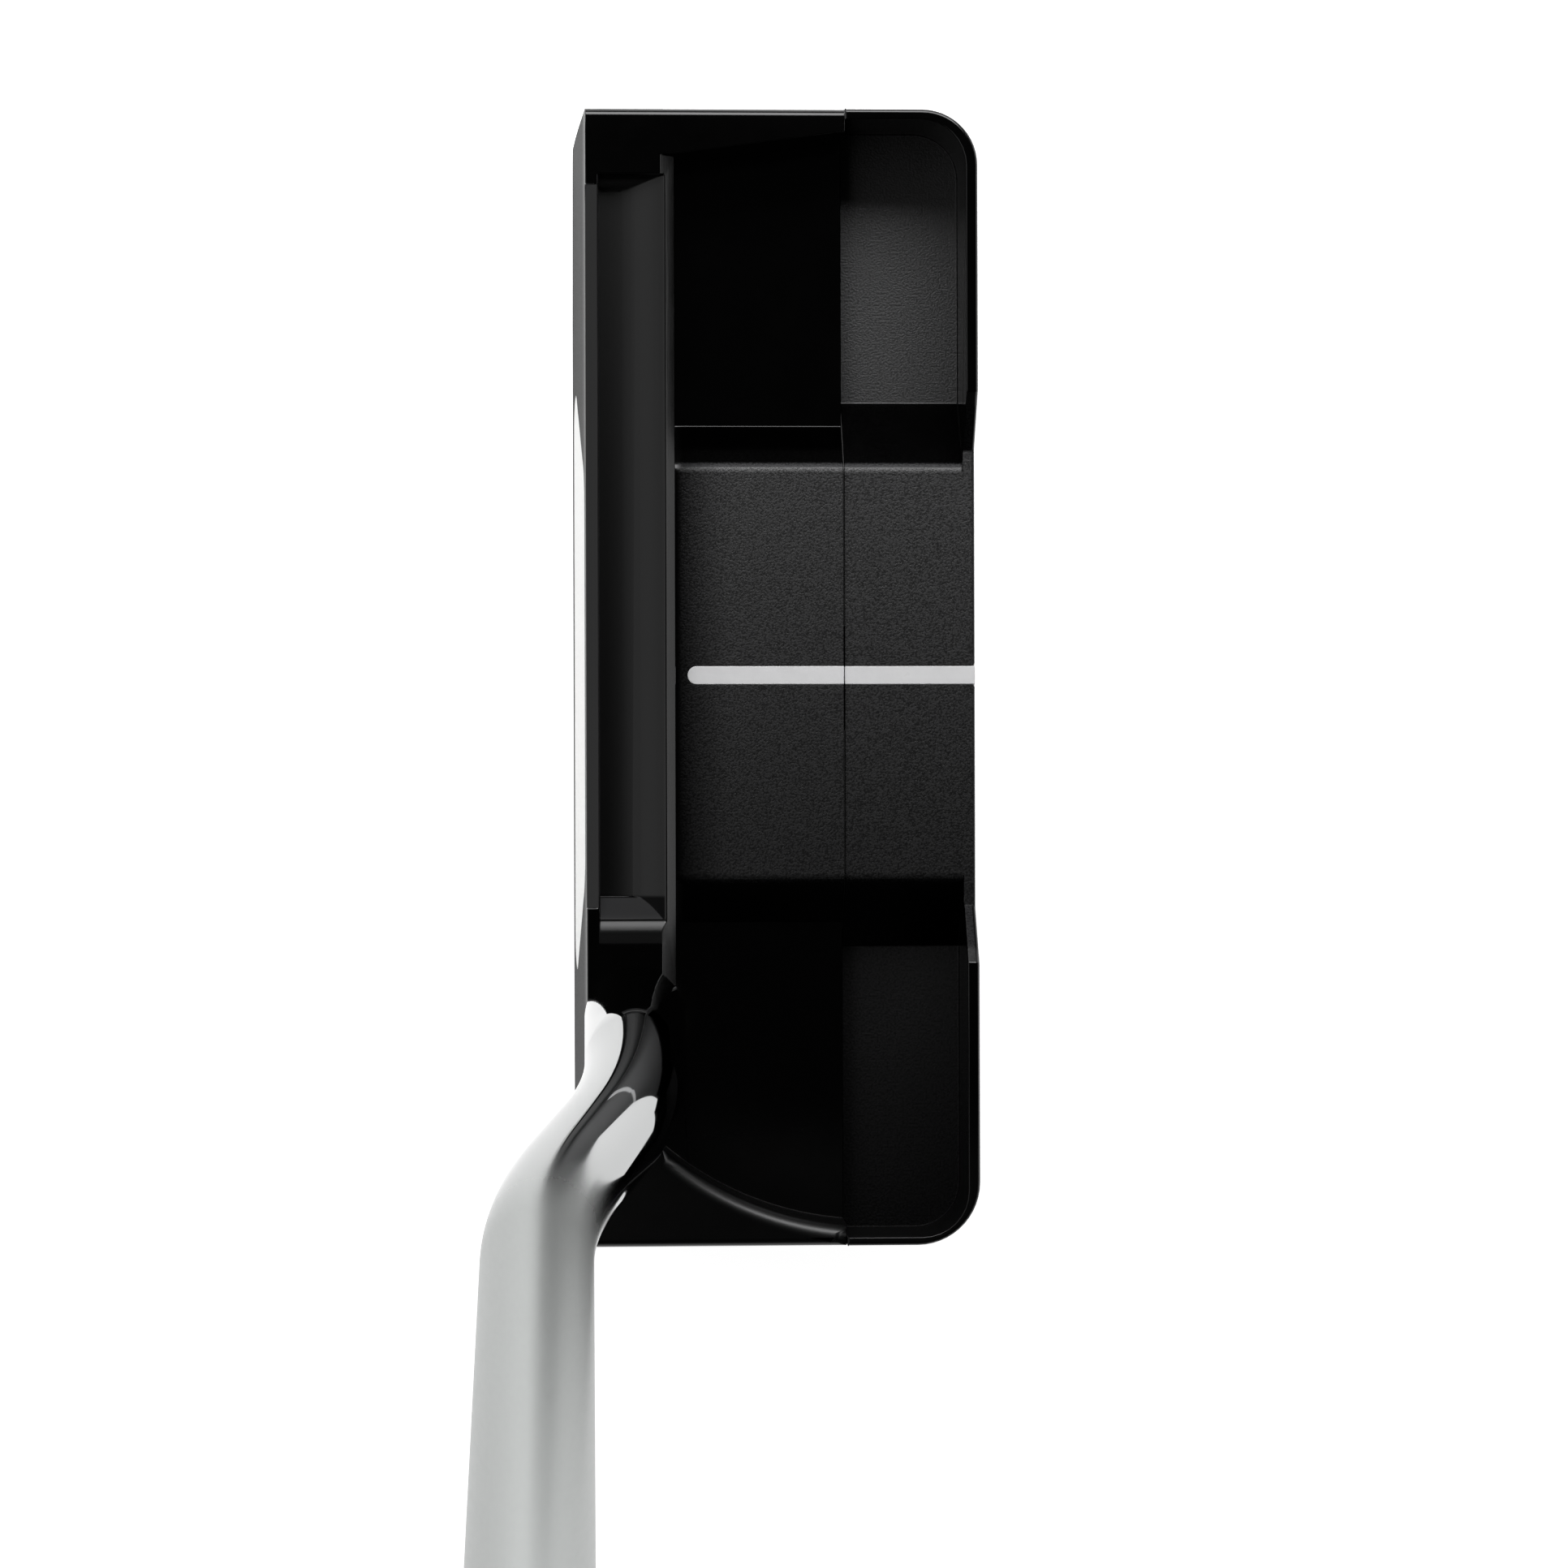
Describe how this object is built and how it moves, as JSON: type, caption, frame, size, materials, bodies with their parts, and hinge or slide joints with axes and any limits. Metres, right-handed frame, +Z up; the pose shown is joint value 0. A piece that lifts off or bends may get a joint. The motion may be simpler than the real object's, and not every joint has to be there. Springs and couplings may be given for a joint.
{
  "type": "mallet putter",
  "caption": "Right-handed wide-blade putter: black two-piece head with raised centre and sight line, white face insert, chrome double-bend shaft, pistol grip.",
  "frame": {"origin": "middle of the sole, on the flat face that rests on the ground", "axes": "+Z up, +X away from the face towards the back edge, +Y towards the toe"},
  "size_m": [0.0553, 0.397, 0.839],
  "materials": {
    "black_steel": "black coated steel, blasted satin on the floors and smooth on the walls",
    "black_aluminium": "black anodised, blasted satin",
    "adhesive": "cured adhesive",
    "steel": "turned stainless steel",
    "white_urethane": "white moulded urethane",
    "white_paint": "white enamel paint fill",
    "washer_plastic": "black nylon",
    "chrome": "mirror chrome plating on steel",
    "paper_tape": "double-sided paper tape",
    "grip_rubber": "moulded black rubber with a fine pattern",
    "black_epoxy": "black structural epoxy"
  },
  "bodies": {
    "root": {"front_body": "black_steel", "rear_body": "black_aluminium", "seam_adhesive": "black_epoxy", "body_screws": "steel", "locating_dowels": "steel", "face_insert": "white_urethane", "insert_tape": "adhesive", "front_sight_line": "white_paint", "rear_sight_line": "white_paint", "toe_weight": "steel", "heel_weight": "steel", "weight_washers": "washer_plastic", "shaft": "chrome", "shaft_epoxy": "adhesive", "grip_tape": "paper_tape", "grip": "grip_rubber", "grip_end_cap": "grip_rubber"}
  },
  "joints": []
}
